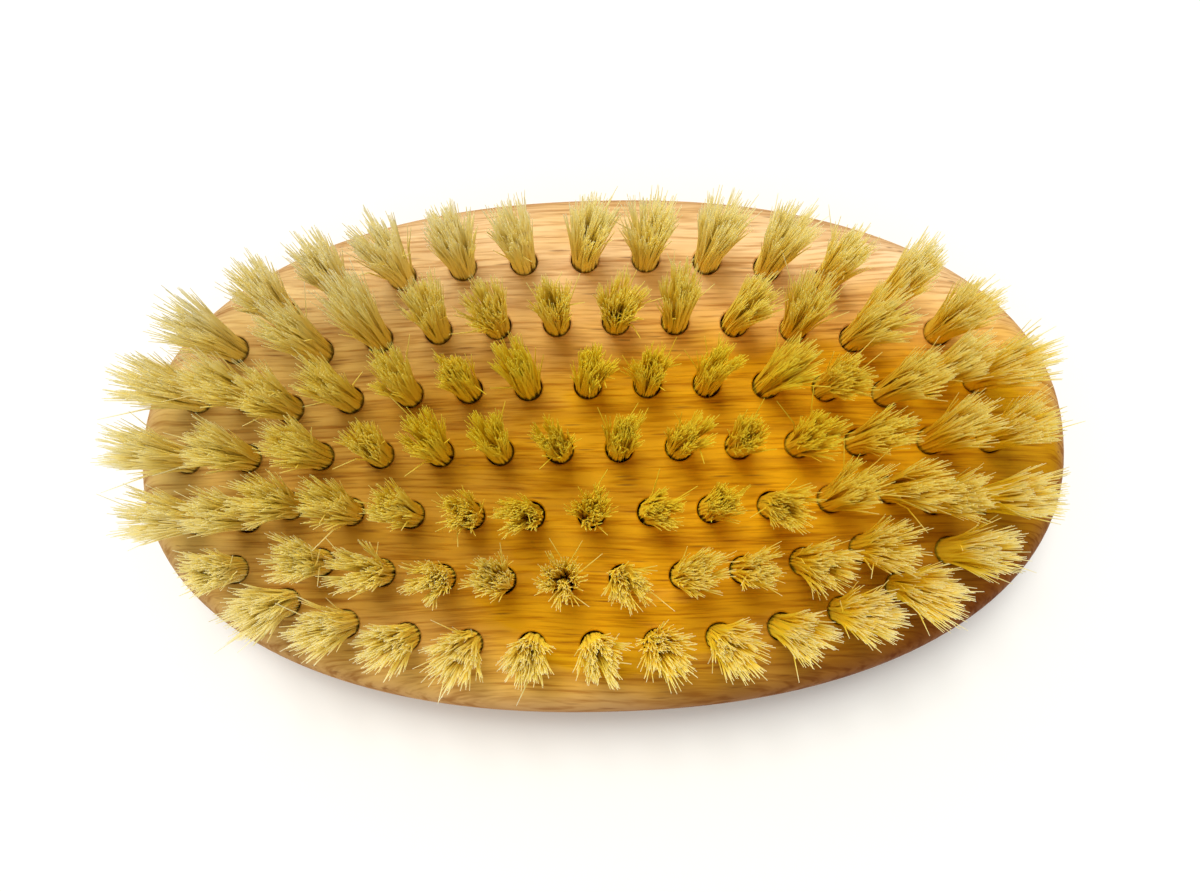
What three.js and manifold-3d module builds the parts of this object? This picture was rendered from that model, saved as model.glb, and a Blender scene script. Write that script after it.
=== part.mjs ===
// Oval wooden nail brush with anchored bristle tufts, lying on its back with the bristles up.
// Millimetres, +Z up. The origin is at the middle of the flat back that it rests on, with the length along X.

import * as THREE from 'three';
import { mergeVertices } from 'three/addons/utils/BufferGeometryUtils.js';
import Module from 'manifold-3d';

// Wooden back
const BACK_LENGTH = 95;
const BACK_WIDTH = 53;
const BACK_THICKNESS = 16;
const BACK_FULLNESS = 2.2; // power of the oval, where 2 is an ellipse
const FACE_EDGE_ROUND = 3;
const PALM_EDGE_ROUND = 7;

// Tuft holes, drilled into the face
const HOLE_DIAMETER = 2.9;
const HOLE_DEPTH = 9;
const DRILL_OVERRUN = 1;

// Pattern of the tufts
const RIM_MARGIN = 6.9; // from the outline of the back to the outer oval of holes
const FIELD_FULLNESS = 2.4;
const FIELD_SHIFT = -1.5; // the drilled field sits a little off centre along the length
const TUFT_PITCH = 6.05;
const ROW_END_PITCH = 4; // least distance from the last tuft of a row to the column that closes the end

// Bristles: two bundles folded over an anchor, so four strands stand in each hole
const TUFT_HEIGHT = 14;
const TIP_UNEVENNESS = 0.7;
const TIP_SPREAD = 1.45; // from the middle of the tuft to a tip, along and across its anchor
const OUTWARD_SPLAY = 0.6; // how far the tips of the outer oval stand outside their holes
const STRAND_GAP = 0.3;
const HOLE_CLEARANCE = 0.2;

// Wire anchors, standing across the grain on the hole floors
const ANCHOR_THICKNESS = 0.3;
const ANCHOR_HEIGHT = 1.6;

// Slices of the wood at the hole floors, which carry the tufts
const SLICE_THICKNESS = 1.4;
const SLICE_MARGIN = 1.2; // past the edges of the outer holes
const FIT_GAP = 0.3;
const ROOT_DEPTH = 0.4; // how far strands and anchors go into their slice

// Fineness of the facets
const OUTLINE_POINTS = 80;
const ROUND_STEPS = 4;
const HOLE_SIDES = 10;
const OVAL_SAMPLES = 2000;

const GOLDEN_ANGLE = 2.4;

const WOOD = new THREE.MeshStandardMaterial({ color: 0xc08a45, roughness: 0.55, metalness: 0 });
const BRISTLE = new THREE.MeshStandardMaterial({ color: 0xdcc583, roughness: 0.6, metalness: 0 });

const wasm = await Module();
wasm.setup();

const faceLevel = BACK_THICKNESS;
const floorLevel = BACK_THICKNESS - HOLE_DEPTH;
const field = { a: BACK_LENGTH / 2 - RIM_MARGIN, b: BACK_WIDTH / 2 - RIM_MARGIN };
const rowsToRim = Math.round(field.b / TUFT_PITCH);
const rowGap = field.b / rowsToRim;

// What fits in a hole, measured from its middle to its flats.
const bundleRadius = (HOLE_DIAMETER / 2) * Math.cos(Math.PI / HOLE_SIDES) - HOLE_CLEARANCE;
const strandRadius = strandRadiusIn(bundleRadius);
const strandOffset = (STRAND_GAP + Math.sqrt(3) * strandRadius) / 2;

// Largest three-sided strand of which four fit in a round bundle, with their gap between them.
// A strand's far corner lies at (offset + radius, offset) from the middle, on the bundle's edge.
function strandRadiusIn(bundle) {
  const along = Math.sqrt(3) / 2;
  const across = along + 1;
  const square = across ** 2 + along ** 2;
  const linear = STRAND_GAP * (across + along);
  const constant = STRAND_GAP ** 2 / 2 - bundle ** 2;
  return (Math.sqrt(linear ** 2 - 4 * square * constant) - linear) / (2 * square);
}

// A closed geometry as a solid that can be joined and cut.
function solid(geometry) {
  const bare = geometry.index ? geometry.toNonIndexed() : geometry.clone();
  bare.deleteAttribute('normal');
  bare.deleteAttribute('uv');
  const merged = mergeVertices(bare);
  const vertProperties = new Float32Array(merged.attributes.position.array);
  const triVerts = new Uint32Array(merged.index.array);
  return new wasm.Manifold(new wasm.Mesh({ numProp: 3, vertProperties, triVerts }));
}

// A solid as a named mesh.
function mesh(name, shape, material) {
  const { vertProperties, triVerts } = shape.getMesh();
  const geometry = new THREE.BufferGeometry();
  geometry.setAttribute('position', new THREE.BufferAttribute(new Float32Array(vertProperties), 3));
  geometry.setIndex(new THREE.BufferAttribute(new Uint32Array(triVerts), 1));
  geometry.computeVertexNormals();
  const part = new THREE.Mesh(geometry, material);
  part.name = name;
  return part;
}

// Point at an angle on an oval of half-axes a and b.
function ovalPoint(a, b, fullness, angle) {
  const cos = Math.cos(angle);
  const sin = Math.sin(angle);
  const x = a * Math.sign(cos) * Math.abs(cos) ** (2 / fullness);
  const y = b * Math.sign(sin) * Math.abs(sin) ** (2 / fullness);
  return new THREE.Vector2(x, y);
}

// Finely spaced points round an oval, from its +X end, with the length walked at each.
function ovalWalk(a, b, fullness) {
  const points = [ovalPoint(a, b, fullness, 0)];
  const lengths = [0];
  for (let i = 1; i <= OVAL_SAMPLES; i += 1) {
    points.push(ovalPoint(a, b, fullness, (2 * Math.PI * i) / OVAL_SAMPLES));
    lengths.push(lengths[i - 1] + points[i].distanceTo(points[i - 1]));
  }
  return { points, lengths, perimeter: lengths[OVAL_SAMPLES] };
}

// Points at equal steps round an oval, from its +X end.
function ovalPoints(a, b, fullness, count) {
  const { points, lengths, perimeter } = ovalWalk(a, b, fullness);
  const spaced = [];
  let at = 0;
  for (let k = 0; k < count; k += 1) {
    const goal = (perimeter * k) / count;
    while (lengths[at + 1] < goal) at += 1;
    const share = (goal - lengths[at]) / (lengths[at + 1] - lengths[at]);
    spaced.push(points[at].clone().lerp(points[at + 1], share));
  }
  return spaced;
}

// Rings of points, from the lowest up, closed by a fan at each end.
function loft(rings) {
  const count = rings[0].length;
  const positions = rings.flat().flatMap((p) => [p.x, p.y, p.z]);
  const index = [];
  for (let r = 0; r + 1 < rings.length; r += 1) {
    for (let i = 0; i < count; i += 1) {
      const a = r * count + i;
      const b = r * count + ((i + 1) % count);
      index.push(a, b, b + count, a, b + count, a + count);
    }
  }
  const top = (rings.length - 1) * count;
  for (let i = 1; i + 1 < count; i += 1) {
    index.push(0, i + 1, i, top, top + i, top + i + 1);
  }
  const geometry = new THREE.BufferGeometry();
  geometry.setAttribute('position', new THREE.Float32BufferAttribute(positions, 3));
  geometry.setIndex(index);
  return solid(geometry);
}

// An upright prism on an outline, between two levels, moved along the length.
function prism(points, low, high, shift = 0) {
  const shape = new THREE.Shape(points);
  const geometry = new THREE.ExtrudeGeometry(shape, { depth: high - low, bevelEnabled: false });
  return solid(geometry.translate(shift, 0, low));
}

// Half-width of the outer oval of holes at a place along the length.
function fieldHalfWidth(x) {
  return field.b * (1 - (Math.abs(x) / field.a) ** FIELD_FULLNESS) ** (1 / FIELD_FULLNESS);
}

// Places of all tufts on the face, from the middle of the field: an outer oval, a column of three that closes
// each end, and rows along the length that bow with the oval and are staggered by half a pitch.
function tuftPlaces() {
  const { perimeter } = ovalWalk(field.a, field.b, FIELD_FULLNESS);
  const ringCount = 4 * Math.round(perimeter / TUFT_PITCH / 4);
  const places = ovalPoints(field.a, field.b, FIELD_FULLNESS, ringCount);

  const endColumn = field.a - TUFT_PITCH;
  for (const x of [-endColumn, endColumn]) {
    for (const side of [-0.5, 0, 0.5]) {
      places.push(new THREE.Vector2(x, side * fieldHalfWidth(x)));
    }
  }

  const reach = endColumn - ROW_END_PITCH;
  for (let row = 1 - rowsToRim; row < rowsToRim; row += 1) {
    const stagger = row % 2 === 0 ? 0.5 : 0;
    const last = Math.floor(reach / TUFT_PITCH - stagger) + stagger;
    for (let k = -last; k <= last; k += 1) {
      const x = k * TUFT_PITCH;
      places.push(new THREE.Vector2(x, (row / rowsToRim) * fieldHalfWidth(x)));
    }
  }
  return places;
}

// Oval block with its rim rounded on the face side and more fully on the palm side.
function backBlock() {
  const rings = [];
  const addRing = (inset, level) => {
    const ring = ovalPoints(BACK_LENGTH / 2 - inset, BACK_WIDTH / 2 - inset, BACK_FULLNESS, OUTLINE_POINTS);
    rings.push(ring.map((p) => new THREE.Vector3(p.x, p.y, level)));
  };
  for (let i = 0; i <= ROUND_STEPS; i += 1) {
    const turn = (Math.PI / 2) * (i / ROUND_STEPS);
    addRing(PALM_EDGE_ROUND * (1 - Math.sin(turn)), PALM_EDGE_ROUND * (1 - Math.cos(turn)));
  }
  for (let i = 0; i <= ROUND_STEPS; i += 1) {
    const turn = (Math.PI / 2) * (i / ROUND_STEPS);
    addRing(FACE_EDGE_ROUND * (1 - Math.cos(turn)), faceLevel - FACE_EDGE_ROUND * (1 - Math.sin(turn)));
  }
  return loft(rings);
}

// Outline of the layer at the hole floors, less a gap.
function layerOutline(gap) {
  const past = HOLE_DIAMETER / 2 + SLICE_MARGIN - gap;
  return ovalPoints(field.a + past, field.b + past, FIELD_FULLNESS, OUTLINE_POINTS);
}

// Outline of a tuft hole.
function holeOutline(place) {
  const points = [];
  for (let i = 0; i < HOLE_SIDES; i += 1) {
    const turn = (2 * Math.PI * i) / HOLE_SIDES;
    const corner = new THREE.Vector2(Math.cos(turn), Math.sin(turn));
    points.push(corner.multiplyScalar(HOLE_DIAMETER / 2).add(place));
  }
  return points;
}

// The wooden back, drilled from the face down to the layer where the slices lie.
function woodenBack(places) {
  const low = floorLevel - SLICE_THICKNESS - FIT_GAP;
  const cuts = [prism(layerOutline(0), low, floorLevel + FIT_GAP, FIELD_SHIFT)];
  for (const place of places) {
    cuts.push(prism(holeOutline(place), floorLevel, faceLevel + DRILL_OVERRUN, FIELD_SHIFT));
  }
  return backBlock().subtract(wasm.Manifold.union(cuts));
}

// One strand: straight up its hole and then out to its tip. Its section points away from the anchor.
function strand(root, tip, away) {
  const ring = (p, level) => [0, 1, 2].map((corner) => {
    const turn = (2 * Math.PI * corner) / 3;
    const x = p.x + away * strandRadius * Math.cos(turn);
    const y = p.y + away * strandRadius * Math.sin(turn);
    return new THREE.Vector3(x, y, level);
  });
  return loft([ring(root, floorLevel - ROOT_DEPTH), ring(root, faceLevel), ring(tip, tip.z)]);
}

// Spread of a tuft's tips, which its nearest neighbour limits so that no strands cross.
function tipSpread(place, places) {
  const others = places.filter((p) => p !== place);
  const nearest = Math.min(...others.map((p) => p.distanceTo(place)));
  const room = nearest / 2 - strandRadius - STRAND_GAP / 2;
  return Math.min(TIP_SPREAD, room / Math.SQRT2);
}

// One tuft: four strands and the anchor that holds them.
function tuft(place, places, number) {
  const spread = tipSpread(place, places);
  const tipX = place.x + (OUTWARD_SPLAY * place.x) / field.a;
  const tipY = place.y + (OUTWARD_SPLAY * place.y) / field.b;
  const shapes = [];
  for (const away of [-1, 1]) {
    for (const along of [-1, 1]) {
      const root = new THREE.Vector2(away, along).multiplyScalar(strandOffset).add(place);
      const uneven = TIP_UNEVENNESS * Math.sin(GOLDEN_ANGLE * (4 * number + 2 * away + along));
      const level = faceLevel + TUFT_HEIGHT + uneven;
      const tip = new THREE.Vector3(tipX + away * spread, tipY + along * spread, level);
      shapes.push(strand(root, tip, away));
    }
  }
  const anchor = new THREE.BoxGeometry(ANCHOR_THICKNESS, 2 * bundleRadius, ANCHOR_HEIGHT + ROOT_DEPTH);
  anchor.translate(place.x, place.y, floorLevel + (ANCHOR_HEIGHT - ROOT_DEPTH) / 2);
  shapes.push(solid(anchor));
  return shapes;
}

// Line along the length, near a wanted place across the width, that keeps farthest from every tuft.
function clearLine(places, wanted) {
  const across = places.map((p) => p.y).sort((p, q) => p - q);
  let best = { line: wanted, room: 0 };
  for (let i = 1; i < across.length; i += 1) {
    const line = (across[i] + across[i - 1]) / 2;
    const room = across[i] - across[i - 1];
    if (Math.abs(line - wanted) < rowGap / 2 && room > best.room) best = { line, room };
  }
  return best.line;
}

// The tufts between two lines along the length, on their slice of the wood.
function tuftBand(places, low, high) {
  const slice = prism(layerOutline(FIT_GAP), floorLevel - SLICE_THICKNESS, floorLevel);
  const strip = new THREE.BoxGeometry(BACK_LENGTH, high - low - FIT_GAP, BACK_THICKNESS);
  strip.translate(0, (low + high) / 2, floorLevel);
  const shapes = [slice.intersect(solid(strip))];
  places.forEach((place, number) => {
    if (place.y > low && place.y < high) shapes.push(...tuft(place, places, number));
  });
  return wasm.Manifold.union(shapes);
}

const places = tuftPlaces();
const lines = [-1.5, 0.5, 1.5].map((rows) => clearLine(places, rows * rowGap));
const edges = [-BACK_WIDTH, ...lines, BACK_WIDTH];
const bandNames = ['tufts_near_outer', 'tufts_near_inner', 'tufts_far_inner', 'tufts_far_outer'];

const tuftField = new THREE.Group();
tuftField.position.x = FIELD_SHIFT;
bandNames.forEach((name, i) => {
  tuftField.add(mesh(name, tuftBand(places, edges[i], edges[i + 1]), BRISTLE));
});

const brush = new THREE.Group();
brush.add(mesh('wooden_back', woodenBack(places), WOOD));
brush.add(tuftField);

export default brush;
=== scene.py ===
"""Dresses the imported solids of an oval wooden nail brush, which lies on its back with the bristles up.

The back becomes a finely rounded block of oiled beech with drilled holes, each band of tufts becomes a field
of separate bristles, and the wire anchors are added at the hole floors. Sizes are in millimetres and are
turned to metres where a mesh is made.
"""

import logging
import math
import random
from collections.abc import Callable
from dataclasses import dataclass
from enum import Enum
from functools import partial

import bmesh
import bpy
import numpy as np
from bpy.types import Camera, Light, Material, Mesh, Node, NodeOutputs, NodeSocket, NodeTree, Object
from mathutils import Matrix, Vector

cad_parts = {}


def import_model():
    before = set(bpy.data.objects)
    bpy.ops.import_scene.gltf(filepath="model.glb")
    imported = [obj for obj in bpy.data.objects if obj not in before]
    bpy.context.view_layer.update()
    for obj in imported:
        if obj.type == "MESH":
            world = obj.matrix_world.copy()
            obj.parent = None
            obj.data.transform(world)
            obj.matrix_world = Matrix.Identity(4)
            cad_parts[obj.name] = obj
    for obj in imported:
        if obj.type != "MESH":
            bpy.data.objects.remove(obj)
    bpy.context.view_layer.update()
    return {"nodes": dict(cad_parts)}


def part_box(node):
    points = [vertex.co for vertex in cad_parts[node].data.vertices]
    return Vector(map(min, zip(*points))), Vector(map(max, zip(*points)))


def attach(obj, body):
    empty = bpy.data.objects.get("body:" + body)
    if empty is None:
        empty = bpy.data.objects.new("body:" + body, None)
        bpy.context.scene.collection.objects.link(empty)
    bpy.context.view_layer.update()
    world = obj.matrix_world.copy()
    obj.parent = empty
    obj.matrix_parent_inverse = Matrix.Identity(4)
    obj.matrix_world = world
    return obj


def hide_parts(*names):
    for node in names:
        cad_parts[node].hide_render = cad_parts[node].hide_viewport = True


LOG = logging.getLogger("nail_brush")
MM = 0.001
SEED = 11
BODY = "root"
RIM_MARGIN = 6.9
FIELD_SHIFT = -1.5
OVAL_STEPS = 2000
ALL = slice(None)

# What feeds an input: an output socket, or a node for its first output
Feed = Node | NodeSocket

# Adds nodes to one tree: add_node with its tree given
Adder = Callable[..., Node]

# Kinds of node used most
MATH, VECTOR, RANGE = "ShaderNodeMath", "ShaderNodeVectorMath", "ShaderNodeMapRange"
DRAW, CARRIED = "FunctionNodeRandomValue", "GeometryNodeInputNamedAttribute"

# Socket type for each type of value
SOCKETS = {
    int: "NodeSocketInt",
    float: "NodeSocketFloat",
    Material: "NodeSocketMaterial",
    Object: "NodeSocketObject",
}

# Colour sockets of a mix node, which has others of the same names
MIX_UNDER, MIX_OVER, MIX_RESULT = 6, 7, 2


class Band(Enum):
    """Bands of tufts along the length, by the name of the solid that each one replaces."""

    NEAR_OUTER = "tufts_near_outer"
    NEAR_INNER = "tufts_near_inner"
    FAR_INNER = "tufts_far_inner"
    FAR_OUTER = "tufts_far_outer"


class Coat(Enum):
    """Ways to lay one colour over another, by the name that a mix node has for each."""

    COVER = "MIX"
    STAIN = "MULTIPLY"


def linear(code: str) -> tuple[float, float, float, float]:
    """Turns an sRGB hex colour to linear light.

    Args:
        code: Six hex digits, with or without a leading hash.

    Returns:
        Red, green, blue and an alpha of 1.
    """
    digits = code.lstrip("#")
    shares = [int(digits[i : i + 2], 16) / 255 for i in (0, 2, 4)]
    red, green, blue = [s / 12.92 if s <= 0.04045 else ((s + 0.055) / 1.055) ** 2.4 for s in shares]
    return red, green, blue, 1.0


def join(source: Feed, goal: NodeSocket) -> None:
    """Links what feeds an input to the input."""
    goal.id_data.links.new(source.outputs[0] if isinstance(source, Node) else source, goal)


def add_node(
    tree: NodeTree, kind: str, feeds: dict | None = None, operation: str = "", **settings: object
) -> Node:
    """Adds a node to a tree, with its settings and what feeds it.

    Args:
        tree: Tree to add to.
        kind: Type name of the node.
        feeds: Input name or number, each with a value or what feeds it.
        operation: What the node does, for a kind that has a choice.
        settings: Other properties of the node.

    Returns:
        The new node.
    """
    node = tree.nodes.new(kind)
    if operation:
        node.operation = operation
    for name, value in settings.items():
        setattr(node, name, value)
    for key, value in (feeds or {}).items():
        if isinstance(value, Feed):
            join(value, node.inputs[key])
        else:
            node.inputs[key].default_value = value
    return node


def seen(add: Adder) -> Feed:
    """Adds nodes that tell if a ray is looked along, straight or by way of gloss or glass.

    Args:
        add: Adds a node to the tree.

    Returns:
        A value that is 1 for such a ray and otherwise 0.
    """
    rays = add("ShaderNodeLightPath")
    found = rays.outputs["Is Camera Ray"]
    for ray in ("Is Glossy Ray", "Is Transmission Ray"):
        found = add(MATH, {0: found, 1: rays.outputs[ray]}, "MAXIMUM")
    return found


def coated(add: Adder, ground: str, coats: list[tuple[Feed, str, Coat]]) -> Feed:
    """Lays coats of colour over a ground, one after the other.

    Args:
        add: Adds a node to the tree.
        ground: Hex colour of the ground.
        coats: How much there is of each coat, its hex colour and how it is laid.

    Returns:
        The colour that they make together.
    """
    colour = linear(ground)
    for share, tint, way in coats:
        feeds = {0: share, MIX_UNDER: colour, MIX_OVER: linear(tint)}
        coat = add("ShaderNodeMix", feeds, data_type="RGBA", blend_type=way.value)
        colour = coat.outputs[MIX_RESULT]
    return colour


def new_material(name: str, fixed: dict[str, object]) -> tuple[Material, Adder, Node, Feed]:
    """Starts a material.

    Args:
        name: Name of the material.
        fixed: Shader inputs that are the same all over, each with its value.

    Returns:
        The material, what adds to its tree, its shader and the place on the piece.
    """
    made = bpy.data.materials.new(name)
    made.use_nodes = True
    shader = made.node_tree.nodes["Principled BSDF"]
    for label, value in fixed.items():
        shader.inputs[label].default_value = value
    add = partial(add_node, made.node_tree)
    return made, add, shader, add("ShaderNodeTexCoord").outputs["Object"]


def new_tree(name: str, values: dict[str, object]) -> tuple[NodeTree, Adder, NodeOutputs]:
    """Starts a Geometry Nodes tree with a geometry input and output and named inputs.

    Args:
        name: Name of the tree.
        values: Input names, each with a value of the input's type.

    Returns:
        The tree, what adds to it, and its inputs by name.
    """
    tree = bpy.data.node_groups.new(name, "GeometryNodeTree")
    for way in ("INPUT", "OUTPUT"):
        tree.interface.new_socket("Geometry", in_out=way, socket_type="NodeSocketGeometry")
    for label, value in values.items():
        tree.interface.new_socket(label, in_out="INPUT", socket_type=SOCKETS[type(value)])
    add = partial(add_node, tree)
    return tree, add, add("NodeGroupInput").outputs


def stored(add: Adder, geometry: Feed, values: dict[str, tuple[str, Feed]]) -> Feed:
    """Adds nodes that keep values on the points of a geometry.

    Args:
        add: Adds a node to the tree.
        geometry: The geometry.
        values: Name of each value, with its type and the value itself.

    Returns:
        The geometry that carries them.
    """
    for name, (kind, value) in values.items():
        feeds = {"Geometry": geometry, "Name": name, "Value": value}
        geometry = add("GeometryNodeStoreNamedAttribute", feeds, data_type=kind, domain="POINT")
    return geometry


def stood(add: Adder, points: Feed, shape: Feed) -> Node:
    """Adds nodes that stand a real copy of a shape at each point."""
    copies = add("GeometryNodeInstanceOnPoints", {"Points": points, "Instance": shape})
    return add("GeometryNodeRealizeInstances", {"Geometry": copies})


def end_tree(add: Adder, given: NodeOutputs, geometry: Feed) -> None:
    """Ends a Geometry Nodes tree by setting the material that it is given."""
    feeds = {"Geometry": geometry, "Material": given["Material"]}
    add("NodeGroupOutput", {"Geometry": add("GeometryNodeSetMaterial", feeds)})


def grown(source: Object, tree: NodeTree, values: dict[str, object]) -> Mesh:
    """Runs a Geometry Nodes tree on an object and takes the result as a plain mesh.

    Args:
        source: Object that carries the points to start from. It is deleted.
        tree: The tree.
        values: Value of each named input.

    Returns:
        The evaluated mesh.
    """
    modifier = source.modifiers.new(tree.name, "NODES")
    modifier.node_group = tree
    for item in tree.interface.items_tree:
        if item.name in values:
            modifier[item.identifier] = values[item.name]
    graph = bpy.context.evaluated_depsgraph_get()
    mesh = bpy.data.meshes.new_from_object(source.evaluated_get(graph), depsgraph=graph)
    source.modifiers.remove(modifier)
    bpy.data.objects.remove(source)
    return mesh


def new_object(name: str, data: Mesh | Camera | Light) -> Object:
    """Puts a mesh, camera or light into the scene as an object at the origin.

    Args:
        name: Name of the object and its data.
        data: What the object is made of. A mesh has its place in its vertices.

    Returns:
        The object.
    """
    data.name = name
    piece = bpy.data.objects.new(name, data)
    bpy.context.scene.collection.objects.link(piece)
    return piece


def oval_points(half_length: float, half_width: float, fullness: float, count: int) -> np.ndarray:
    """Spaces points evenly round an oval, from its +X end.

    Args:
        half_length: Half of its length.
        half_width: Half of its width.
        fullness: Power of the oval, where 2 is an ellipse.
        count: How many points.

    Returns:
        One row of x and y for each point.
    """
    turn = np.linspace(0, 2 * math.pi, OVAL_STEPS + 1)
    cos, sin = np.cos(turn), np.sin(turn)
    x = half_length * np.sign(cos) * np.abs(cos) ** (2 / fullness)
    y = half_width * np.sign(sin) * np.abs(sin) ** (2 / fullness)
    walked = np.concatenate([[0], np.cumsum(np.hypot(np.diff(x), np.diff(y)))])
    goals = walked[-1] * np.arange(count) / count
    return np.column_stack([np.interp(goals, walked, x), np.interp(goals, walked, y)])


def lofted(name: str, rings: list[np.ndarray]) -> Object:
    """Joins rings of points to a closed object.

    Args:
        name: Name of the object.
        rings: The rings from the lowest up, each with a row of x, y and z for each point.

    Returns:
        The object, in metres.
    """
    made = bmesh.new()
    loops = [[made.verts.new(tuple(point * MM)) for point in ring] for ring in rings]
    for low, high in zip(loops, loops[1:]):
        for i in range(len(low)):
            j = (i + 1) % len(low)
            made.faces.new((low[i], low[j], high[j], high[i]))
    made.faces.new(list(reversed(loops[0])))
    made.faces.new(loops[-1])
    mesh = bpy.data.meshes.new(name)
    made.to_mesh(mesh)
    made.free()
    return new_object(name, mesh)


@dataclass(frozen=True)
class GrainMark:
    """One kind of mark along the grain: a drawn-out noise, and how much of it shows."""

    length: float
    width: float
    detail: float
    faint: float
    full: float
    least: float
    most: float
    layer_reach: float = 5.0
    fineness: float = 0.6

    def share(self, add: Adder, place: Feed) -> Feed:
        """Adds the noise, drawn out along the grain and less so within each growth layer.

        Args:
            add: Adds a node to the tree.
            place: Place on the wood, with Y across the layers.

        Returns:
            How much the mark shows, from least to most.
        """
        scale = (1 / (self.length * MM), 1 / (self.width * MM), 1 / (self.layer_reach * self.width * MM))
        drawn = add(VECTOR, {0: place, 1: scale}, "MULTIPLY")
        looks = {"Vector": drawn, "Scale": 1.0, "Detail": self.detail, "Roughness": self.fineness}
        noise = add("ShaderNodeTexNoise", looks)
        return add(RANGE, {0: noise, 1: self.faint, 2: self.full, 3: self.least, 4: self.most})


@dataclass(frozen=True)
class OvalTint:
    """Where a tint lies, seen from above: all of it in the middle of an oval, and less further out."""

    middle: tuple[float, float]
    reach: tuple[float, float]
    full_to: float
    gone_by: float
    least: float = 0.0

    def share(self, add: Adder, place: Feed) -> Feed:
        """Adds the tint.

        Args:
            add: Adds a node to the tree.
            place: Place on the brush.

        Returns:
            How much of the tint is there.
        """
        centre = (self.middle[0] * MM, self.middle[1] * MM, 0.0)
        scale = (1 / (self.reach[0] * MM), 1 / (self.reach[1] * MM), 0.0)
        off = add(VECTOR, {0: place, 1: centre}, "SUBTRACT")
        scaled = add(VECTOR, {0: off, 1: scale}, "MULTIPLY")
        out = add(VECTOR, {0: scaled}, "LENGTH")
        return add(RANGE, {0: out.outputs[1], 1: self.full_to, 2: self.gone_by, 3: 1.0, 4: self.least})


@dataclass(frozen=True)
class Drift:
    """How a tint grows from one side of the brush to the other."""

    way: tuple[float, float, float]
    start: float
    end: float
    most: float = 1.0

    def share(self, add: Adder, place: Feed) -> Feed:
        """Adds the drift.

        Args:
            add: Adds a node to the tree.
            place: Place on the brush.

        Returns:
            How much of the tint is there, from 0 to most.
        """
        along = add(VECTOR, {0: place, 1: self.way}, "DOT_PRODUCT")
        grown_to = {0: along.outputs[1], 1: self.start * MM, 2: self.end * MM, 3: 0.0, 4: self.most}
        return add(RANGE, grown_to)


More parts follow.
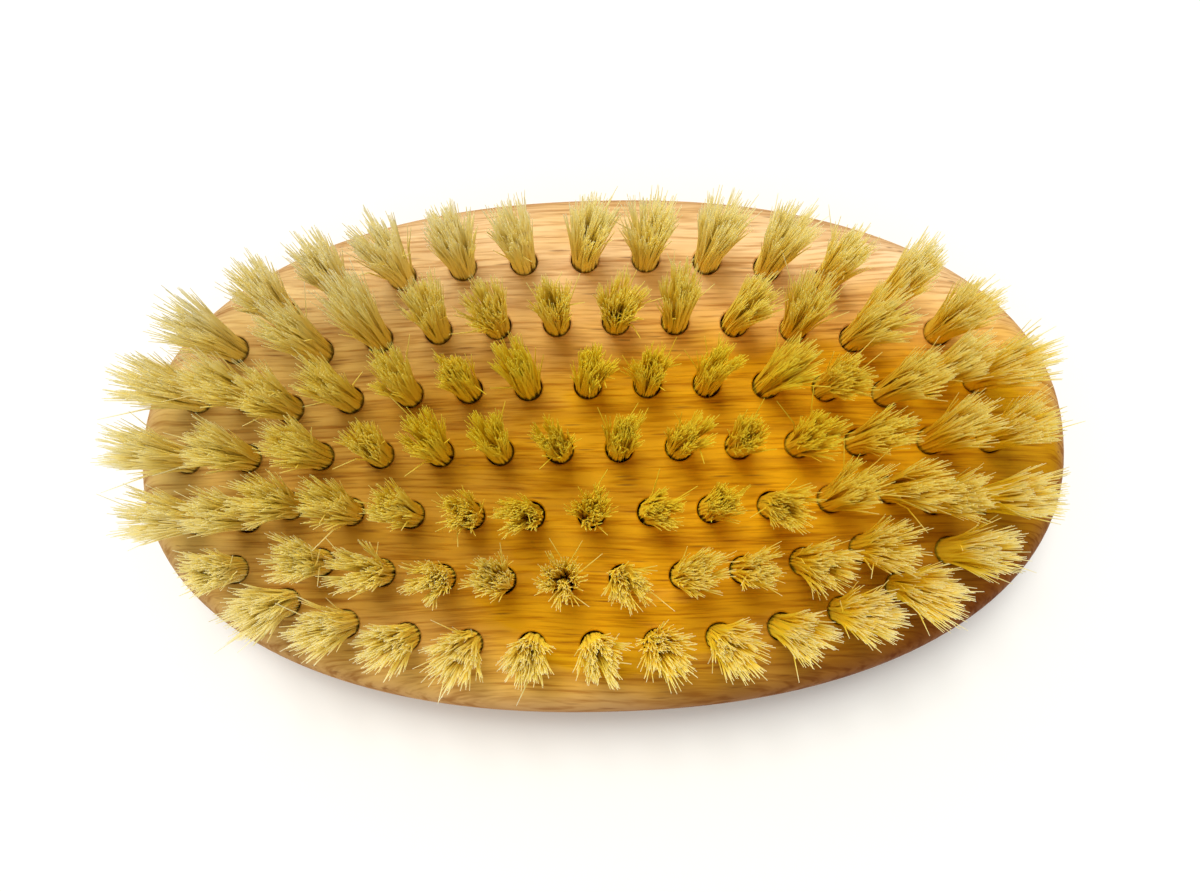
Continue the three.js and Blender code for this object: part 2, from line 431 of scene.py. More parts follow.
@dataclass(frozen=True)
class OiledBeech:
    """Oiled beech, soft grain: pale at the far rim, amber in the middle and brown at the near right, partly
    painted light and shade.
    """

    pale: str = "#F8D8AC"
    # Amber: the oil's own tone, and painted yellow bounce light and shade from the tufts
    amber: str = "#EEB400"
    # Painted shade on the sides and the palm side, which turn away from the lamp
    side_shade: str = "#D8BE8E"
    # Painted shade of the tufts on the face, deepest towards the left end
    tuft_shade: str = "#D2CC96"
    # Brown: the wood's own tone, and painted shade towards the near right
    brown: str = "#80480A"
    streak: str = "#B4863C"
    fleck: str = "#64300A"
    amber_place: OvalTint = OvalTint((14.0, -7.0), (50.0, 23.0), full_to=0.6, gone_by=1.2, least=0.1)
    tuft_shade_place: OvalTint = OvalTint((-30.0, -2.0), (40.0, 30.0), full_to=0.4, gone_by=1.0)
    brown_and_shade_drift: Drift = Drift((0.65, -1.15, 0.0), start=20.0, end=44.0)
    brown_patches: float = 0.5
    side_level: float = 14.0
    face_level: float = 16.0
    amber_on_side: float = 0.35
    waver: GrainMark = GrainMark(36.0, 18.0, 1.0, faint=0.0, full=1.0, least=-2.0 * MM, most=2.0 * MM)
    layer_slope: float = 40.0
    patches: GrainMark = GrainMark(26.0, 8.0, 4.0, faint=0.3, full=0.7, least=-0.14, most=0.3)
    streaks: GrainMark = GrainMark(22.0, 1.0, 5.0, faint=0.46, full=0.7, least=0.0, most=0.42)
    # The pores are drawn a little coarser than the real ones, so that they show
    pores: GrainMark = GrainMark(6.0, 0.24, 2.0, faint=0.46, full=0.68, least=0.0, most=0.6)
    fleck_length: float = 3.2
    fleck_width: float = 0.3
    fleck_core: float = 0.1
    fleck_edge: float = 0.45
    fleck_depth: float = 0.6
    fleck_rarity: float = 0.8
    roughness: float = 0.5
    pore_roughness: float = 0.7
    dull_pore: float = 0.5
    specular: float = 0.06
    ior: float = 1.5
    relief: float = 0.06
    relief_strength: float = 0.25

    def bent(self, add: Adder, place: Feed) -> Feed:
        """Adds nodes that follow the grain, which wavers across the length in sloping layers.

        Args:
            add: Adds a node to the tree.
            place: Place on the wood.

        Returns:
            The place, with X along the grain and Y across its layers.
        """
        sideways = add("ShaderNodeCombineXYZ", {1: self.waver.share(add, place)})
        swayed = add(VECTOR, {0: place, 1: sideways}, "ADD")
        slope = {"Vector": swayed, "Angle": math.radians(self.layer_slope)}
        return add("ShaderNodeVectorRotate", slope, rotation_type="X_AXIS")

    def flecks(self, add: Adder, bent: Feed) -> Feed:
        """Adds the ray flecks, a few short dark dashes along the grain.

        Args:
            add: Adds a node to the tree.
            bent: Place on the wood, with X along the grain.

        Returns:
            How much of a fleck is there.
        """
        scale = (1 / (self.fleck_length * MM), 1 / (self.fleck_width * MM), 1 / (self.fleck_width * MM))
        drawn = add(VECTOR, {0: bent, 1: scale}, "MULTIPLY")
        cells = add("ShaderNodeTexVoronoi", {"Vector": drawn, "Scale": 1.0})
        edges = {1: self.fleck_core, 2: self.fleck_edge, 3: self.fleck_depth, 4: 0.0}
        body = add(RANGE, {0: cells.outputs["Distance"], **edges})
        picked = add(MATH, {0: cells.outputs["Color"], 1: self.fleck_rarity}, "GREATER_THAN")
        return add(MATH, {0: body, 1: picked}, "MULTIPLY")

    def material(self) -> Material:
        """Builds the wood, with its grain along X.

        Returns:
            The material.
        """
        fixed = {"IOR": self.ior, "Specular IOR Level": self.specular}
        made, add, shader, place = new_material("oiled_beech", fixed)
        bent = self.bent(add, place)
        patches, streaks, pores = [m.share(add, bent) for m in (self.patches, self.streaks, self.pores)]
        flecks = self.flecks(add, bent)
        height = add("ShaderNodeSeparateXYZ", {0: place}).outputs[2]
        levels = {0: height, 1: self.side_level * MM, 2: self.face_level * MM}
        on_face = add(RANGE, {**levels, 3: self.amber_on_side, 4: 1.0})
        on_side = add(RANGE, {**levels, 3: 1.0, 4: 0.0})

        # The face is amber in patches, most in the middle: partly the oil's own tone, partly painted
        # yellow bounce light and shade from the tufts. Painted shade of the tufts darkens the face towards
        # the left end, painted shade darkens the sides and the palm side, which turn away from the lamp,
        # and the near right is browner: partly the wood's own tone, partly painted shade
        oil_and_bounce = {0: self.amber_place.share(add, place), 1: on_face, 2: patches}
        amber_and_bounce = add(MATH, oil_and_bounce, "MULTIPLY_ADD", use_clamp=True)
        tuft_shade = add(MATH, {0: self.tuft_shade_place.share(add, place), 1: on_face}, "MULTIPLY")
        browning_inputs = {0: patches, 1: self.brown_patches, 2: self.brown_and_shade_drift.share(add, place)}
        brown_and_shade = add(MATH, browning_inputs, "MULTIPLY_ADD", use_clamp=True)
        coats = [
            (amber_and_bounce, self.amber, Coat.COVER),
            (on_side, self.side_shade, Coat.STAIN),
            (tuft_shade, self.tuft_shade, Coat.STAIN),
            (brown_and_shade, self.brown, Coat.COVER),
            (streaks, self.streak, Coat.STAIN),
            (pores, self.streak, Coat.STAIN),
            (flecks, self.fleck, Coat.COVER),
        ]
        join(coated(add, self.pale, coats), shader.inputs["Base Color"])

        # Oil sinks into the pores, so they are duller than the wood between them
        dulled = {0: pores, 1: 0.0, 2: self.dull_pore, 3: self.roughness, 4: self.pore_roughness}
        join(add(RANGE, dulled), shader.inputs["Roughness"])
        sunk = add(MATH, {0: pores, 1: flecks}, "ADD")
        relief = {"Height": sunk, "Strength": self.relief_strength, "Distance": self.relief * MM}
        join(add("ShaderNodeBump", relief, invert=True), shader.inputs["Normal"])
        return made


@dataclass(frozen=True)
class NaturalBristle:
    """Undyed natural bristle: straw, yellower at the root, pale at the cut tip, no two quite alike."""

    root: str = "#FEF4B8"
    shaft: str = "#FFF9D4"
    tip: str = "#FFFCE8"
    # A painted warm cast of light and shade, towards the near right
    warm_light_tint: str = "#FFF244"
    # Painted shade and yellow bounce light on the inner tufts
    inner_shade_and_bounce: str = "#F8EE56"
    shaft_by: float = 0.5
    tip_from: float = 0.64
    tip_by: float = 0.96
    warm_light_drift: Drift = Drift((0.6, -0.8, 0.0), start=-8.0, end=20.0, most=0.95)
    tip_warmth: float = 0.12
    inner_shade_place: OvalTint = OvalTint((2.0, 1.0), (44.0, 19.0), full_to=0.4, gone_by=1.05)
    darkest: float = 0.62
    dark_share: float = 0.2
    roughness: float = 0.45
    specular: float = 0.1
    ior: float = 1.54
    sheen: float = 0.7
    sheen_roughness: float = 0.5
    sheen_tint: str = "#FFE638"
    let_through: float = 0.6

    def material(self) -> Material:
        """Builds the bristle finish, which reads the height and tone that each bristle carries.

        Returns:
            The material.
        """
        fixed = {
            "Roughness": self.roughness,
            "IOR": self.ior,
            "Specular IOR Level": self.specular,
            "Sheen Weight": self.sheen,
            "Sheen Roughness": self.sheen_roughness,
            "Sheen Tint": linear(self.sheen_tint),
        }
        made, add, shader, place = new_material("natural_bristle", fixed)
        height = add("ShaderNodeAttribute", attribute_name="height").outputs["Fac"]
        tone = add("ShaderNodeAttribute", attribute_name="tone").outputs["Fac"]
        up_shaft = add(RANGE, {0: height, 2: self.shaft_by})
        up_tip = add(RANGE, {0: height, 1: self.tip_from, 2: self.tip_by})

        # Painted warm light and shade make the near right yellower and darker, less so at the cut tips,
        # and painted shade and yellow bounce light deepen the yellow of the inner tufts
        less_at_tip = add(RANGE, {0: up_tip, 3: 1.0, 4: self.tip_warmth})
        warm_light_inputs = {0: self.warm_light_drift.share(add, place), 1: less_at_tip}
        warm_light_share = add(MATH, warm_light_inputs, "MULTIPLY")
        coats = [
            (up_shaft, self.shaft, Coat.COVER),
            (up_tip, self.tip, Coat.COVER),
            (warm_light_share, self.warm_light_tint, Coat.STAIN),
            (self.inner_shade_place.share(add, place), self.inner_shade_and_bounce, Coat.STAIN),
        ]
        colour = coated(add, self.root, coats)
        value = add(RANGE, {0: tone, 2: self.dark_share, 3: self.darkest})
        toned = add("ShaderNodeHueSaturation", {"Color": colour, "Value": value})
        join(toned, shader.inputs["Base Color"])

        # A bristle is translucent, so part of the light goes on through it to those behind
        path = add("ShaderNodeLightPath")
        passed = add(MATH, {0: path.outputs["Is Shadow Ray"], 1: self.let_through}, "MULTIPLY")
        through = add("ShaderNodeBsdfTransparent", {"Color": linear(self.shaft)})
        lit = add("ShaderNodeMixShader", {0: passed, 1: shader, 2: through})
        join(lit, made.node_tree.nodes["Material Output"].inputs["Surface"])
        return made


@dataclass(frozen=True)
class TinnedWire:
    """Flat tinned steel wire, drawn and cropped: grey, with faint lines from the die."""

    colour: str = "#B9B6AE"
    roughness: float = 0.34
    line_roughness: float = 0.49
    line_spacing: float = 0.08
    line_length: float = 1.6
    line_range: tuple[float, float] = (0.3, 0.7)

    def material(self) -> Material:
        """Builds the wire's finish.

        Returns:
            The material.
        """
        fixed = {"Base Color": linear(self.colour), "Metallic": 1.0}
        made, add, shader, place = new_material("tinned_wire", fixed)
        across, along = 1 / (self.line_spacing * MM), 1 / (self.line_length * MM)
        line_place = add(VECTOR, {0: place, 1: (across, along, across)}, "MULTIPLY")
        lines = add("ShaderNodeTexNoise", {"Vector": line_place, "Scale": 1.0})
        faint, full = self.line_range
        dulled = {0: lines, 1: faint, 2: full, 3: self.roughness, 4: self.line_roughness}
        join(add(RANGE, dulled), shader.inputs["Roughness"])
        return made


@dataclass(frozen=True)
class PaleTable:
    """A smooth white table top: it takes the shadow, turns to white far off and is clear from below."""

    colour: str = "#FBFAF4"
    roughness: float = 0.85
    specular: float = 0.1
    fade_from: float = 180.0
    fade_to: float = 600.0
    rest_gap: float = 1.0

    def material(self) -> Material:
        """Builds the table's finish.

        Returns:
            The material.
        """
        fixed = {
            "Base Color": linear(self.colour),
            "Roughness": self.roughness,
            "Specular IOR Level": self.specular,
            "Emission Color": (1, 1, 1, 1),
        }
        made, add, shader, place = new_material("pale_table", fixed)
        off = add(VECTOR, {0: place}, "LENGTH")
        white = add(RANGE, {0: off.outputs[1], 1: self.fade_from * MM, 2: self.fade_to * MM})
        shown = add(MATH, {0: white, 1: seen(add)}, "MULTIPLY")
        join(shown, shader.inputs["Emission Strength"])

        # Clear from below, and where the palm side rests on it, so that the palm side shows from below
        side = add("ShaderNodeNewGeometry")
        path = add("ShaderNodeLightPath")
        close = add(MATH, {0: path.outputs["Ray Length"], 1: self.rest_gap * MM}, "LESS_THAN")
        below = add(MATH, {0: side.outputs["Backfacing"], 1: close}, "MAXIMUM")
        clear = add("ShaderNodeBsdfTransparent")
        one_sided = add("ShaderNodeMixShader", {0: below, 1: shader, 2: clear})
        join(one_sided, made.node_tree.nodes["Material Output"].inputs["Surface"])
        return made


@dataclass
class TuftField:
    """Plan of the drilled holes: an outer oval, a column of three at each end, and staggered bowed rows."""

    half_length: float
    half_width: float
    shift: float
    pitch: float = 6.05
    row_end_pitch: float = 4.0
    column: tuple[float, ...] = (-0.5, 0.0, 0.5)
    fullness: float = 2.4
    inner_spread: float = 1.55
    outer_spread: float = 2.3
    outward_splay: float = 0.3
    stray_lean: float = 0.4
    gap_share: float = 0.45
    spread_range: tuple[float, float] = (0.88, 1.1)
    perimeter_steps: int = 400

    def half_width_at(self, x: float) -> float:
        """Gives the outer oval's half-width at a place along the length."""
        return self.half_width * (1 - (abs(x) / self.half_length) ** self.fullness) ** (1 / self.fullness)

    def places(self) -> np.ndarray:
        """Lays out the tufts.

        Returns:
            One row of x and y for each tuft, from the middle of the field.
        """
        fine = oval_points(self.half_length, self.half_width, self.fullness, self.perimeter_steps)
        perimeter = np.linalg.norm(np.diff(fine, axis=0, append=fine[:1]), axis=1).sum()
        # A count that four divides is the same at both ends and on both sides
        ring_count = 4 * round(perimeter / self.pitch / 4)
        found = [tuple(p) for p in oval_points(self.half_length, self.half_width, self.fullness, ring_count)]
        end_column = self.half_length - self.pitch
        for x in (-end_column, end_column):
            found += [(x, side * self.half_width_at(x)) for side in self.column]
        rows_to_rim = round(self.half_width / self.pitch)
        reach = end_column - self.row_end_pitch
        for row in range(1 - rows_to_rim, rows_to_rim):
            stagger = 0.5 if row % 2 == 0 else 0.0
            last = math.floor(reach / self.pitch - stagger) + stagger
            for k in range(round(2 * last) + 1):
                x = (k - last) * self.pitch
                found.append((x, row / rows_to_rim * self.half_width_at(x)))
        return np.array(found)

    def splays(self, places: np.ndarray) -> np.ndarray:
        """Works out how far each tuft's tips stand off its hole.

        Args:
            places: Places of the tufts.

        Returns:
            One row of x and y for each tuft: outwards from the middle, and a little at random.
        """
        chance = random.Random(SEED)
        outward = self.outward_splay * places / np.array([self.half_length, self.half_width])
        lean = [[chance.gauss(0, 1), chance.gauss(0, 1)] for _ in places]
        return outward + self.stray_lean * np.array(lean)

    def spreads(self, places: np.ndarray) -> np.ndarray:
        """Works out how wide each tuft opens at its tips.

        Args:
            places: Places of the tufts.

        Returns:
            A radius for each tuft: more at the rim, less by a close neighbour, and a little at random.
        """
        chance = random.Random(SEED + 1)
        gaps = np.linalg.norm(places[:, None] - places[None], axis=2)
        np.fill_diagonal(gaps, np.inf)
        outwards = np.linalg.norm(places / np.array([self.half_length, self.half_width]), axis=1)
        open_to = self.inner_spread + (self.outer_spread - self.inner_spread) * np.minimum(outwards, 1) ** 2
        fitted = np.minimum(open_to, self.gap_share * gaps.min(axis=1))
        return fitted * np.array([chance.uniform(*self.spread_range) for _ in places])

    def points(self, name: str, chosen: np.ndarray | slice, level: float) -> Object:
        """Makes an object with a vertex at each chosen tuft, which carries the tuft's spread and splay.

        Args:
            name: Name of the object.
            chosen: Truth value for each tuft, or a slice of them.
            level: Height of the vertices.

        Returns:
            The object, in metres.
        """
        places = self.places()
        splays, spreads = self.splays(places)[chosen], self.spreads(places)[chosen]
        mesh = bpy.data.meshes.new(name)
        mesh.from_pydata([((x + self.shift) * MM, y * MM, level * MM) for x, y in places[chosen]], [], [])
        flat = np.column_stack([splays, np.zeros(len(splays))]) * MM
        mesh.attributes.new("splay", "FLOAT_VECTOR", "POINT").data.foreach_set("vector", flat.ravel())
        mesh.attributes.new("spread", "FLOAT", "POINT").data.foreach_set("value", spreads * MM)
        return new_object(name, mesh)


@dataclass
class WoodenBack:
    """One-piece oval back: flat face, rounded rim, fuller round on the palm side, and drilled holes."""

    length: float
    width: float
    thickness: float
    fullness: float = 2.2
    face_round: float = 3.0
    palm_round: float = 7.0
    face_land: float = 0.8
    hole_radius: float = 1.45
    hole_depth: float = 9.0
    hole_ease: float = 0.14
    drill_over: float = 1.0
    sharp_angle: float = 35.0
    outline_points: int = 176
    round_steps: int = 12
    hole_sides: int = 28

    def rings(self) -> list[tuple[float, float]]:
        """Lists the rings of the block.

        Returns:
            The inset and level of each ring, from the palm side up.
        """
        quarter = [math.pi / 2 * i / self.round_steps for i in range(self.round_steps + 1)]
        palm = [(self.palm_round * (1 - math.sin(t)), self.palm_round * (1 - math.cos(t))) for t in quarter]
        top = self.thickness - self.face_round
        face = [(self.face_round * (1 - math.cos(t)), top + self.face_round * math.sin(t)) for t in quarter]
        lands = [(self.palm_round + self.face_land, 0.0), (self.face_round + self.face_land, self.thickness)]
        return [lands[0], *palm, *face, lands[1]]

    def block(self) -> Object:
        """Lofts the undrilled block.

        Returns:
            The object, in metres.
        """
        half_length, half_width = self.length / 2, self.width / 2
        stack = []
        for inset, level in self.rings():
            outline = oval_points(half_length - inset, half_width - inset, self.fullness, self.outline_points)
            stack.append(np.column_stack([outline, np.full(self.outline_points, level)]))
        return lofted("block", stack)

    def drill(self) -> Object:
        """Turns the shape that each hole takes out, with its eased edge at the face.

        Returns:
            The object, with the face at its origin, in metres.
        """
        eased = self.hole_radius + self.hole_ease
        profile = (
            (self.hole_radius, -self.hole_depth),
            (self.hole_radius, -self.hole_ease),
            (eased, 0.0),
            (eased, self.drill_over),
        )
        turn = 2 * math.pi * np.arange(self.hole_sides) / self.hole_sides
        stack = [
            np.column_stack([r * np.cos(turn), r * np.sin(turn), np.full(self.hole_sides, level)])
            for r, level in profile
        ]
        return lofted("drill", stack)

    def build(self, tufts: TuftField, material: Material) -> Object:
        """Drills the block at every tuft.

        Args:
            tufts: Plan of the holes.
            material: The wood.

        Returns:
            The back.
        """
        helpers = {"Block": self.block(), "Drill": self.drill()}
        values = {**helpers, "Material": material}
        tree, add, given = new_tree("Drilled face", values)
        block, drill = [
            add("GeometryNodeObjectInfo", {"Object": given[label]}).outputs["Geometry"]
            for label in helpers
        ]
        bits = stood(add, given["Geometry"], drill)
        pair = {"Mesh 1": block, "Mesh 2": bits}
        cut = add("GeometryNodeMeshBoolean", pair, "DIFFERENCE", solver="EXACT")
        end_tree(add, given, cut)
        mesh = grown(tufts.points("hole_places", ALL, self.thickness), tree, values)
        for helper in helpers.values():
            bpy.data.objects.remove(helper)
        mesh.shade_smooth()
        mesh.set_sharp_from_angle(angle=math.radians(self.sharp_angle))
        return new_object("beech_back", mesh)

    def dress(self, back: Object) -> None:
        """Sets the back on the solid that it stands for.

        Args:
            back: The back.
        """
        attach(back, BODY)
        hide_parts("wooden_back")


@dataclass
class BristleBand:
    """One band of tufts as separate bristles, straight in their holes and opening in locks above."""

    band: Band
    face: float
    hole_depth: float
    length: float = 14.0
    uneven: float = 1.5
    bundle_radius: float = 1.22
    bristle_radius: float = 0.09
    tip_radius: float = 0.03
    taper_from: float = 0.5
    curl: float = 0.5
    clump: float = 0.62
    clump_size: float = 0.8
    wisp: float = 0.5
    stray: float = 2.4
    stray_share: float = 0.015
    straight: float = 0.14
    opening_power: float = 1.3
    crook_power: float = 2.5
    slice_clearance: float = 0.5
    crook_seed: int = 101
    length_seed: int = 202
    tone_seed: int = 303
    stray_seed: int = 404
    per_tuft: int = 340
    sides: int = 3
    steps: int = 3

    def round_place(self, add: Adder, given: NodeOutputs) -> Feed:
        """Adds nodes that give each bristle a place in a round bundle.

        Args:
            add: Adds a node to the tree.
            given: The tree's inputs, by name.

        Returns:
            The place, from the middle of a bundle of radius 1.
        """
        chance = add(DRAW, {0: (0, 0, 0), 1: (1, 1, 1), "Seed": given["Seed"]}, data_type="FLOAT_VECTOR")
        parts = add("ShaderNodeSeparateXYZ", {0: chance})
        out = add(MATH, {0: parts}, "SQRT")
        turn = add(MATH, {0: parts.outputs[1], 1: 2 * math.pi}, "MULTIPLY")
        ahead = add("ShaderNodeCombineXYZ", {0: out})
        return add("ShaderNodeVectorRotate", {"Vector": ahead, "Angle": turn}, rotation_type="Z_AXIS")

    def lean(self, add: Adder, given: NodeOutputs, round_place: Feed) -> Feed:
        """Adds nodes that tell where a tip leans: outwards, with its tuft, and with its own lock.

        Args:
            add: Adds a node to the tree.
            given: The tree's inputs, by name.
            round_place: The bristle's place in the round bundle.

        Returns:
            How far the tip stands from the middle of its hole.
        """
        spread = add(CARRIED, {"Name": "spread"}, data_type="FLOAT")
        splay = add(CARRIED, {"Name": "splay"}, data_type="FLOAT_VECTOR")
        opened = add(VECTOR, {0: round_place, "Scale": spread}, "SCALE")
        where = add("GeometryNodeInputPosition")
        at_tip = add(VECTOR, {0: where, 1: opened}, "ADD")
        cells = {"Vector": at_tip, "Scale": 1 / (self.clump_size * MM)}
        locks = add("ShaderNodeTexVoronoi", cells, voronoi_dimensions="2D")
        to_point = add(VECTOR, {0: locks.outputs["Position"], 1: at_tip}, "SUBTRACT")
        level_pull = add(VECTOR, {0: to_point, 1: (1, 1, 0)}, "MULTIPLY")
        gathered = add(VECTOR, {0: level_pull, "Scale": given["Clump"]}, "SCALE")

        # A lock's colour is a chance value that all its bristles share, so they move aside together
        own_way = add(VECTOR, {0: locks.outputs["Color"], 1: (0.5, 0.5, 0.5)}, "SUBTRACT")
        aside = (2 * self.wisp * MM, 2 * self.wisp * MM, 0.0)
        parted = add(VECTOR, {0: own_way, 1: aside}, "MULTIPLY")
        total = opened
        for part in (splay, gathered, parted):
            total = add(VECTOR, {0: total, 1: part}, "ADD")
        return total

    def bend(self, add: Adder, given: NodeOutputs) -> Feed:
        """Adds nodes that give each bristle a crook of its own, and a few strays a larger one.

        Args:
            add: Adds a node to the tree.
            given: The tree's inputs, by name.

        Returns:
            How far the crook takes the tip.
        """
        ways = {0: (-1, -1, 0), 1: (1, 1, 0), "Seed": self.crook_seed}
        crook = add(DRAW, ways, data_type="FLOAT_VECTOR")
        luck = add(DRAW, {2: 0.0, 3: 1.0, "Seed": self.stray_seed}, data_type="FLOAT")
        is_stray = add(MATH, {0: luck.outputs[1], 1: given["Stray share"]}, "LESS_THAN")
        reaches = {0: is_stray, 2: given["Curl"], 3: given["Stray reach"]}
        reach = add("ShaderNodeMix", reaches, data_type="FLOAT")
        return add(VECTOR, {0: crook, "Scale": reach}, "SCALE")

    def plan(self, add: Adder, given: NodeOutputs) -> Feed:
        """Adds nodes that make a point for each bristle, with its place, lean, crook, length and tone.

        Args:
            add: Adds a node to the tree.
            given: The tree's inputs, by name.

        Returns:
            The points.
        """
        tufts = {"Geometry": given["Geometry"], "Amount": given["Bristles per tuft"]}
        copies = add("GeometryNodeDuplicateElements", tufts, domain="POINT")
        round_place = self.round_place(add, given)
        root = add(VECTOR, {0: round_place, "Scale": given["Bundle radius"]}, "SCALE")
        where = add("GeometryNodeInputPosition")
        base = add(VECTOR, {0: where, 1: root}, "ADD")
        chance = add(DRAW, {2: -1.0, 3: 1.0, "Seed": self.length_seed}, data_type="FLOAT")
        trim = {0: chance.outputs[1], 1: given["Unevenness"], 2: given["Length"]}
        rise = add(MATH, trim, "MULTIPLY_ADD")
        tone = add(DRAW, {2: 0.0, 3: 1.0, "Seed": self.tone_seed}, data_type="FLOAT")
        kept = {
            "base": ("FLOAT_VECTOR", base),
            "root_offset": ("FLOAT_VECTOR", root),
            "lean": ("FLOAT_VECTOR", self.lean(add, given, round_place)),
            "bend": ("FLOAT_VECTOR", self.bend(add, given)),
            "rise": ("FLOAT", rise),
            "tone": ("FLOAT", tone.outputs[1]),
        }
        return stored(add, copies, kept)

    def unit(self, add: Adder) -> Feed:
        """Adds a unit bristle, which remembers how far up it each corner is and where in its section.

        Args:
            add: Adds a node to the tree.

        Returns:
            The bristle.
        """
        size = {"Vertices": self.sides, "Side Segments": self.steps, "Radius": 1.0, "Depth": 1.0}
        rod = add("GeometryNodeMeshCylinder", size, fill_type="NGON")
        corner = add("GeometryNodeInputPosition")
        parts = add("ShaderNodeSeparateXYZ", {0: corner})
        along = add(MATH, {0: parts.outputs[2], 1: 0.5}, "ADD")
        section = add(VECTOR, {0: corner, 1: (1, 1, 0)}, "MULTIPLY")
        kept = {"along": ("FLOAT", along), "section": ("FLOAT_VECTOR", section)}
        return stored(add, rod, kept)

    def shaped(self, add: Adder, given: NodeOutputs, rods: Node) -> Feed:
        """Adds nodes that shape each rod: straight up its hole, then out along its lean, and thin at the tip.

        Args:
            add: Adds a node to the tree.
            given: The tree's inputs, by name.
            rods: A unit bristle for each point of the plan.

        Returns:
            The bristles, which carry only their height and tone.
        """
        kinds = {
            "FLOAT_VECTOR": ("base", "root_offset", "lean", "bend", "section"),
            "FLOAT": ("rise", "along"),
        }
        read = {
            name: add(CARRIED, {"Name": name}, data_type=kind)
            for kind, names in kinds.items()
            for name in names
        }
        # The lowest step of the rod is in the hole
        mouth = 1 / self.steps
        in_hole = add(RANGE, {0: read["along"], 1: 0.0, 2: mouth, 3: -1.0, 4: 0.0})
        above = add(RANGE, {0: read["along"], 1: mouth, 2: 1.0, 3: self.straight, 4: 1.0})
        height = add(MATH, {0: above, 1: in_hole, 2: above}, "MULTIPLY_ADD")
        depth = add(MATH, {0: in_hole, 1: given["Hole depth"]}, "MULTIPLY")
        level = add(MATH, {0: height, 1: read["rise"], 2: depth}, "MULTIPLY_ADD")
        opening, crooking = [
            add(MATH, {0: height, 1: power}, "POWER")
            for power in (self.opening_power, self.crook_power)
        ]
        travel = add(VECTOR, {0: read["lean"], 1: read["root_offset"]}, "SUBTRACT")
        thick, thin = given["Bristle radius"], given["Tip radius"]
        girth = add(RANGE, {0: opening, 1: self.taper_from, 2: 1.0, 3: thick, 4: thin})
        lift = add("ShaderNodeCombineXYZ", {2: level})
        moves = [
            add(VECTOR, {0: way, "Scale": share}, "SCALE")
            for way, share in ((travel, opening), (read["bend"], crooking), (read["section"], girth))
        ]
        total = read["base"]
        for move in (*moves, lift):
            total = add(VECTOR, {0: total, 1: move}, "ADD")
        placed = add("GeometryNodeSetPosition", {"Geometry": rods, "Position": total})
        done = stored(add, placed, {"height": ("FLOAT", height)})
        for name in (*read, "spread", "splay"):
            done = add("GeometryNodeRemoveAttribute", {"Geometry": done, "Name": name})
        return done

    def chosen(self, tufts: TuftField, solid: Object) -> np.ndarray:
        """Finds the tufts that stand on the slice of this band's solid.

        Args:
            tufts: Plan of all tufts.
            solid: The band's solid.

        Returns:
            A truth value for each tuft.
        """
        floor = (self.face - self.hole_depth - self.slice_clearance) * MM
        slice_across = [v.co.y / MM for v in solid.data.vertices if v.co.z < floor]
        across = tufts.places()[:, 1]
        return (across > min(slice_across)) & (across < max(slice_across))

    def build(self, tufts: TuftField, solid: Object, material: Material) -> Object:
        """Grows the band's bristles.

        Args:
            tufts: Plan of all tufts.
            solid: The band's solid.
            material: The bristles' finish.

        Returns:
            The band.
        """
        values = {
            "Bristles per tuft": self.per_tuft,
            "Bundle radius": self.bundle_radius * MM,
            "Bristle radius": self.bristle_radius * MM,
            "Tip radius": self.tip_radius * MM,
            "Hole depth": self.hole_depth * MM,
            "Length": self.length * MM,
            "Unevenness": self.uneven * MM,
            "Curl": self.curl * MM,
            "Clump": self.clump,
            "Stray reach": self.stray * MM,
            "Stray share": self.stray_share,
            "Seed": SEED + list(Band).index(self.band),
            "Material": material,
        }
        tree, add, given = new_tree("Bristles", values)
        bristles = self.shaped(add, given, stood(add, self.plan(add, given), self.unit(add)))
        faceted = {"Geometry": bristles, "Shade Smooth": False}
        end_tree(add, given, add("GeometryNodeSetShadeSmooth", faceted))
        points = tufts.points("tuft_places", self.chosen(tufts, solid), self.face)
        mesh = grown(points, tree, values)
        return new_object(self.band.value.replace("tufts", "bristles"), mesh)

    def dress(self, bristles: Object) -> None:
        """Sets the bristles on the solid that they stand for.

        Args:
            bristles: The band.
        """
        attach(bristles, BODY)
        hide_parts(self.band.value)


@dataclass
class WireAnchors:
    """Flat wire anchors, one across the floor of each hole, as in a real brush, where the bristles are folded
    over them.
    """

    face: float
    hole_depth: float
    width: float = 2.3
    height: float = 1.6
    thickness: float = 0.34
    edge_round: float = 0.1
    edge_steps: int = 3

    def build(self, tufts: TuftField, material: Material) -> Object:
        """Stands an anchor in every hole.

        Args:
            tufts: Plan of the holes.
            material: The wire's finish.

        Returns:
            All anchors as one piece.
        """
        values = {
            "Width": self.width * MM,
            "Height": self.height * MM,
            "Thickness": self.thickness * MM,
            "Edge round": self.edge_round * MM,
            "Material": material,
        }
        tree, add, given = new_tree("Wire anchors", values)
        ways = ((0, -0.5, 0), (0, 0.5, 0))
        start, end = [add(VECTOR, {0: way, "Scale": given["Width"]}, "SCALE") for way in ways]
        wire = add("GeometryNodeCurvePrimitiveLine", {"Start": start, "End": end})
        sizes = {"Width": given["Thickness"], "Height": given["Height"]}
        section = add("GeometryNodeCurvePrimitiveQuadrilateral", sizes)
        rounding = {"Curve": section, "Radius": given["Edge round"], "Count": self.edge_steps}
        eased = add("GeometryNodeFilletCurve", rounding, mode="POLY")
        bar = add("GeometryNodeCurveToMesh", {"Curve": wire, "Profile Curve": eased, "Fill Caps": True})
        end_tree(add, given, stood(add, given["Geometry"], bar))
        points = tufts.points("anchor_places", ALL, self.face - self.hole_depth + self.height / 2)
        return new_object("wire_anchors", grown(points, tree, values))

    def dress(self, anchors: Object) -> None:
        """Sets the anchors on the body that holds them."""
        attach(anchors, BODY)


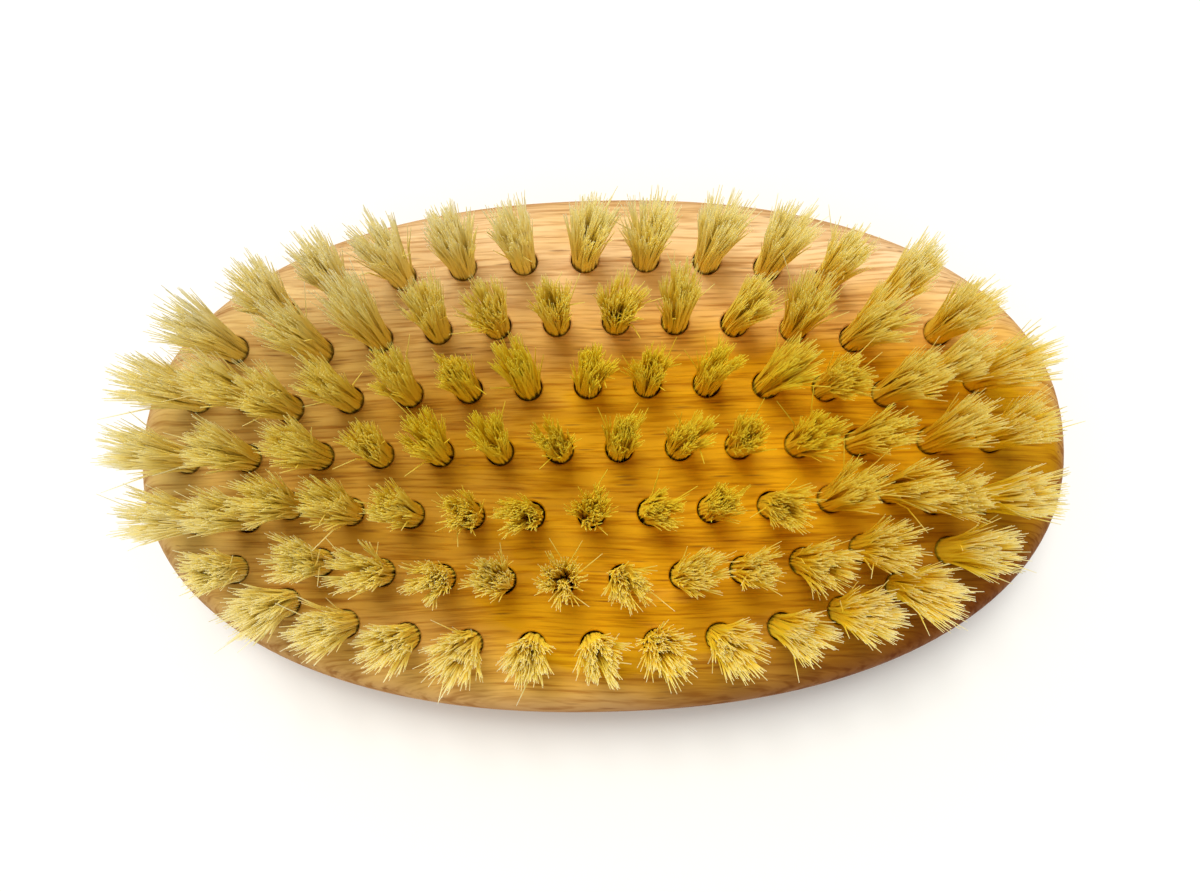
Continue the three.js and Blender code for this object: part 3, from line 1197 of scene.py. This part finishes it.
@dataclass
class PhotoCamera:
    """Camera close above the brush, a little to its near side, as the photograph was taken."""

    frame_width: float = 1200.0
    focal_pixels: float = 1200.0
    place: tuple[float, float, float] = (-1.2, -11.25, 136.8)
    tilt: float = 5.47
    yaw: float = 0.22
    roll: float = 1.49
    sensor: float = 36.0
    clip_start: float = 10.0

    def build(self) -> Object:
        """Makes the scene's camera.

        Returns:
            The camera.
        """
        lens = bpy.data.cameras.new("photo_camera")
        lens.sensor_width = self.sensor
        lens.lens = self.sensor * self.focal_pixels / self.frame_width
        lens.clip_start = self.clip_start * MM
        camera = new_object("photo_camera", lens)
        turned = (
            Matrix.Rotation(math.radians(-self.roll), 4, "Z")
            @ Matrix.Rotation(math.radians(self.tilt), 4, "X")
            @ Matrix.Rotation(math.radians(-self.yaw), 4, "Y")
        )
        camera.matrix_world = Matrix.Translation(Vector(self.place) * MM) @ turned
        bpy.context.scene.camera = camera
        return camera


@dataclass(frozen=True)
class SoftLamp:
    """One square soft lamp, turned to the brush."""

    name: str
    place: tuple[float, float, float]
    size: float
    watts: float

    def build(self) -> Object:
        """Hangs the lamp.

        Returns:
            The lamp.
        """
        light = bpy.data.lights.new(self.name, "AREA")
        light.size = self.size * MM
        light.energy = self.watts
        lamp = new_object(self.name, light)
        lamp.location = Vector(self.place) * MM
        lamp.rotation_euler = (-lamp.location).to_track_quat("-Z", "Y").to_euler()
        return lamp


@dataclass
class Studio:
    """White table in a pale room, with one soft lamp overhead, a little to the far side."""

    table_size: float = 6000.0
    table_gap: float = 0.02
    room_level: float = 0.62
    bounces: int = 12
    lamp: SoftLamp = SoftLamp("overhead_lamp", (-50.0, 150.0, 590.0), 180.0, 2.3)

    def table(self) -> Object:
        """Lays the table that the brush lies on.

        Returns:
            The table.
        """
        half, level = self.table_size / 2 * MM, -self.table_gap * MM
        corners = [(-half, -half, level), (half, -half, level), (half, half, level), (-half, half, level)]
        mesh = bpy.data.meshes.new("table")
        mesh.from_pydata(corners, [], [(0, 1, 2, 3)])
        table = new_object("table", mesh)
        mesh.materials.append(PaleTable().material())
        return table

    def room(self) -> None:
        """Lights the scene from all round, and shows white behind the table."""
        world = bpy.data.worlds.new("pale_room")
        world.use_nodes = True
        add, back = partial(add_node, world.node_tree), world.node_tree.nodes["Background"]
        join(add(RANGE, {0: seen(add), 3: self.room_level, 4: 1.0}), back.inputs["Strength"])
        back.inputs["Color"].default_value = (1, 1, 1, 1)
        bpy.context.scene.world = world

    def build(self) -> None:
        """Sets up the table, the room and the lamp, and lets light pass many times between pale bristles."""
        self.table()
        self.room()
        self.lamp.build()
        bpy.context.scene.cycles.diffuse_bounces = self.bounces


def main() -> None:
    """Builds and dresses the brush."""
    logging.basicConfig(level=logging.INFO, format="%(name)s: %(message)s")
    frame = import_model()
    bpy.context.scene.view_settings.view_transform = "Standard"

    low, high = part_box("wooden_back")
    size = (high - low) / MM
    back = WoodenBack(length=size.x, width=size.y, thickness=size.z)
    tufts = TuftField(
        half_length=size.x / 2 - RIM_MARGIN, half_width=size.y / 2 - RIM_MARGIN, shift=FIELD_SHIFT
    )

    block = back.build(tufts, OiledBeech().material())
    back.dress(block)
    LOG.info("%s: %d faces", block.name, len(block.data.polygons))

    bristle = NaturalBristle().material()
    for band in Band:
        bristles = BristleBand(band, face=back.thickness, hole_depth=back.hole_depth)
        field = bristles.build(tufts, frame["nodes"][band.value], bristle)
        bristles.dress(field)
        LOG.info("%s: %d faces", field.name, len(field.data.polygons))

    wires = WireAnchors(face=back.thickness, hole_depth=back.hole_depth)
    anchors = wires.build(tufts, TinnedWire().material())
    wires.dress(anchors)
    LOG.info("%s: %d faces", anchors.name, len(anchors.data.polygons))

    PhotoCamera().build()
    Studio().build()


if __name__ == "__main__":
    main()
